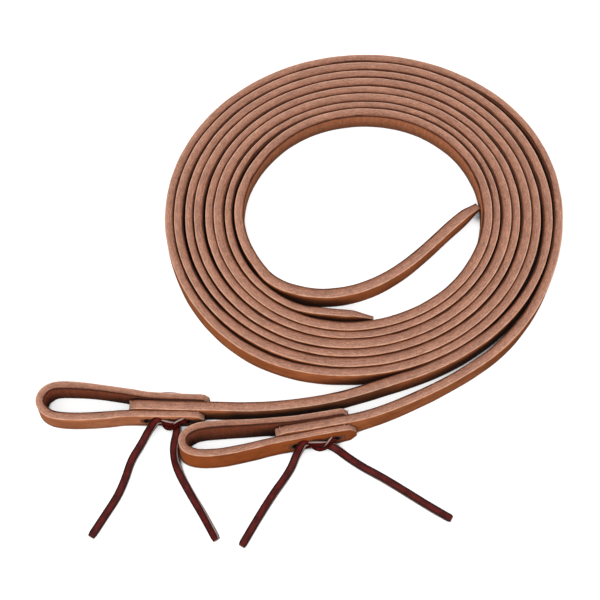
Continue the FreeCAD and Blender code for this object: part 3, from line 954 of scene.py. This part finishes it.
def make_loop(side, material, seed):
    rein = REINS[side]
    stack = stack_frame(side)
    middle = np.array([0, 0, STRAP_WIDTH / 2])
    offset = (rein["thickness"] + LOOP_THICKNESS) / 2
    across = -stack.out * offset

    def on_leg(distance, sideways):
        return stack.base + stack.along * distance + sideways + middle

    far_end, near_end = rein["reach"]
    route = [on_leg(far_end, across), on_leg(LEG_CONTACT[0], across)]
    route += [(*p, STRAP_WIDTH / 2) for p in rein["eye"]]
    route += [on_leg(LEG_CONTACT[1], -across), on_leg(near_end, -across)]
    route, widths = leaning(route, [lean_at(side, p, True) for p in route])
    line = line_through(route, LOOP_STEPS)
    up = line_through(widths, LOOP_STEPS)
    first, last = LOOP_PLAIN_POINTS
    thicknesses = [LOOP_THICKNESS] * first
    thicknesses += [LOOP_BEND_THICKNESS] * (len(route) - first - last) + [LOOP_THICKNESS] * last
    thick = values_through(thicknesses, LOOP_STEPS)
    station = distances(line)
    half_width = STRAP_WIDTH / 2 - end_profile(station, LEG_SHAPE, LEG_SHAPE)
    section = strap_section(LOOP_THICKNESS / 2, STRAP_ROWS, LOOP_BEVEL, STRAP_CROWN)
    grid, places, marks = ring_grid(line, up, thick / 2, half_width, section, STRAP_LOOKS, seed)
    middles = grid.mean(axis=1)
    half = len(middles) // 2
    holes = hole_list(side, middles[:half], -offset)
    near = hole_list(side, middles[half:], offset)
    holes += [(ring + half, *rest) for ring, *rest in near]
    name = side + "_bit_loop_strip"
    piece = new_object(name, build_mesh(name, grid, places, marks, holes), material)
    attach(piece, side + "_bit_end_group")
    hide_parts(side + "_bit_loop")


def make_tufts(side, material, seed):
    """Torn fibres that stand up from the cut ends of the loop's legs and of the rein."""
    face = stack_frame(side).face
    half_rein = REINS[side]["thickness"] / 2
    far_end, near_end = REINS[side]["reach"]
    spots = [(near_end - back, half_rein + out) for back, out in NEAR_TUFTS]
    spots += [(far_end - back, -half_rein - out) for back, out in FAR_TUFTS]
    spots += [(u, half_rein * share) for u, share in REIN_TUFTS]
    full_breadth, full_depth, full_rise = TUFT_SIZE
    verts, faces, places, marks = [], [], [], []
    for number in range(len(spots) * TUFT_FIBRES):
        u, across = spots[number % len(spots)]
        pick = [2 * noise.noise(Vector((seed + number * TUFT_DRAWS[0], axis * TUFT_DRAWS[1], 0.5)))
                for axis in range(4)]
        root = stack_point(side, (u * 1000 + pick[0] * TUFT_SPREAD[0],
                                  (across - face) * 1000 + pick[1] * TUFT_SPREAD[1], TUFT_ROOT))
        reach = TUFT_REACH[0] + TUFT_REACH[1] * abs(pick[2])
        turn = number * TUFT_TURN + pick[3]
        lean = np.array([math.cos(turn), math.sin(turn), 0.0])
        beside = left_of(lean)
        first = len(verts)
        for forward, rise, breadth in TUFT_ROWS:
            middle = root + lean * reach * forward + UP * rise * full_rise
            half = beside * full_breadth * 0.5 * breadth
            for corner in (middle - half, middle + half, middle + UP * full_depth * breadth):
                verts.append(corner)
                places.append((number * TUFT_APART + forward * reach, corner[1], corner[2]))
                marks.append(TUFT_MARK)
        for row in range(len(TUFT_ROWS) - 1):
            for k in range(3):
                a, b = first + row * 3 + k, first + row * 3 + (k + 1) % 3
                faces.append((a, b, b + 3, a + 3))
        last = first + (len(TUFT_ROWS) - 1) * 3
        faces += [(first + 2, first + 1, first), (last, last + 1, last + 2)]
    name = side + "_torn_fibres"
    mesh = bpy.data.meshes.new(name)
    mesh.from_pydata([tuple(v) for v in verts], [], faces)
    write_attributes(mesh, places, marks)
    piece = new_object(name, mesh, material)
    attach(piece, side + "_bit_end_group")


def lace_mesh(name, route, widths, seed, half_width=LACE_WIDTH / 2):
    """A flat lace along a route, with the direction of its width at each control point, and the
    line of its middle."""
    line = line_through(route, LACE_STEPS)
    tips = [np.array(p) + np.array(w) * half_width for p, w in zip(route, widths)]
    up = line_through(tips, LACE_STEPS) - line
    half_thickness = np.full(len(line), LACE_THICKNESS / 2)
    breadth = half_width - end_profile(distances(line), LACE_END_SHAPE, LACE_END_SHAPE)
    section = strap_section(LACE_THICKNESS / 2, LACE_ROWS, LACE_BEVEL, LACE_CROWN)
    grid = ring_grid(line, up, half_thickness, breadth, section, LACE_LOOKS, seed)
    return build_mesh(name, *grid, []), line


def level_beside(places, index, facing):
    """The direction square to facing and to the route at one of its places."""
    ahead = places[min(index + 1, len(places) - 1)] - places[max(index - 1, 0)]
    level = np.cross(facing, ahead)
    return level / np.linalg.norm(level)


def knot_points(side, name):
    """A strand's route, and the directions of its width."""
    route = [stack_point(side, place) for place, tilt in KNOTS[side][name]]
    widths = []
    for i, (place, tilt) in enumerate(KNOTS[side][name]):
        level = level_beside(route, i, KNOT_FACING)
        tilt = math.radians(tilt)
        widths.append(level * math.cos(tilt) + KNOT_FACING * math.sin(tilt))
    return route, widths


def make_tail(side, name, material, seed):
    tail = TAILS[side, name]
    route, widths = knot_points(side, name + "_start")
    places = [np.array(p[:3]) for p in tail]
    for i, point in enumerate(tail):
        lean = math.radians(point[3])
        widths.append(level_beside(places, i, UP) * math.cos(lean) + UP * math.sin(lean))
    route += places
    label = f"{side}_lace_{name}_tail"
    mesh, line = lace_mesh(label + "_lace", route, widths, seed)
    piece = new_object(label + "_lace", mesh, material)
    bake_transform(piece)
    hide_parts(label)


def make_knot(side, material, seed):
    group = side + "_bit_end_group"
    for name in ("over", "under"):
        route, widths = knot_points(side, name)
        label = f"{side}_knot_{name}_turn"
        mesh = lace_mesh(label, route, widths, seed, KNOT_LACE_WIDTH / 2)[0]
        piece = new_object(label, mesh, material)
        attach(piece, group)
        seed += STRAND_SEED_STEP
    far_face = -2000 * stack_frame(side).face
    height = (REINS[side]["hole_height"] - BACK_RUN_DROP) * 1000
    route = [stack_point(side, (u, far_face - v, height)) for u, v in BACK_RUN]
    label = side + "_lace_back_run"
    piece = new_object(label, lace_mesh(label, route, [UP] * len(route), seed)[0], material)
    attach(piece, group)
    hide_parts(side + "_lace_knot")


# Studio

FLOOR_SIZE = 40.0
SKY_HEIGHT = (0.0, 0.40)  # as the sine of the elevation
SKY_STRENGTH = (0.04, 0.88)
LAMPS = {  # place, size, energy
    "key": ((-0.5, -0.7, 1.3), 1.2, 9.0),
    "top": ((0.2, 0.5, 1.5), 1.4, 6.0),
}


def make_sky():
    world = bpy.data.worlds.new("studio")
    bpy.context.scene.world = world
    world.use_nodes = True
    tree = world.node_tree
    tree.nodes.clear()
    coords, parts, ramp, background, output = (
        tree.nodes.new("ShaderNode" + kind)
        for kind in ("TexCoord", "SeparateXYZ", "MapRange", "Background", "OutputWorld"))
    ramp.inputs["From Min"].default_value, ramp.inputs["From Max"].default_value = SKY_HEIGHT
    ramp.inputs["To Min"].default_value, ramp.inputs["To Max"].default_value = SKY_STRENGTH
    background.inputs["Color"].default_value = (1, 1, 1, 1)
    for start, end in ((coords.outputs["Generated"], parts.inputs[0]),
                       (parts.outputs[2], ramp.inputs["Value"]),
                       (ramp.outputs[0], background.inputs["Strength"]),
                       (background.outputs[0], output.inputs[0])):
        tree.links.new(start, end)


def make_studio():
    scene = bpy.context.scene
    scene.view_settings.view_transform = "Standard"
    bpy.ops.mesh.primitive_plane_add(size=FLOOR_SIZE, location=(0, 0, 0))
    floor = bpy.context.object
    floor.name = "floor"
    floor.data.materials.append(floor_material())
    floor.visible_diffuse = False
    floor.visible_glossy = False
    make_sky()
    for name, (place, size, energy) in LAMPS.items():
        light = bpy.data.lights.new(name, "AREA")
        light.shape, light.size, light.energy = "DISK", size, energy
        lamp = bpy.data.objects.new(name, light)
        lamp.location = place
        lamp.rotation_euler = (-Vector(place)).to_track_quat("-Z", "Y").to_euler()
        scene.collection.objects.link(lamp)


# Each piece's unevenness is drawn from its own seed
SEEDS = {"rein": {"left": 3.0, "right": 19.0}, "loop": {"left": 71.0, "right": 83.0},
         "tufts": {"left": 0.0, "right": 7.0}, "knot": {"left": 97.0, "right": 111.0}}
TAIL_SEEDS = (41.0, 48.0, 55.0, 62.0)

make_camera()
skins = {name: leather(name + "_leather_visual", **looks) for name, looks in LEATHERS.items()}
lace = lace_leather("lace_leather_visual")
for side, seed in SEEDS["rein"].items():
    make_rein(side, skins[side + "_rein"], seed)
for (side, tail_name), seed in zip(TAILS, TAIL_SEEDS):
    make_tail(side, tail_name, lace, seed)
for side, seed in SEEDS["loop"].items():
    make_loop(side, skins[side + "_loop"], seed)
for side, seed in SEEDS["tufts"].items():
    make_tufts(side, skins[side + "_loop"], seed)
for side, seed in SEEDS["knot"].items():
    make_knot(side, lace, seed)
make_studio()
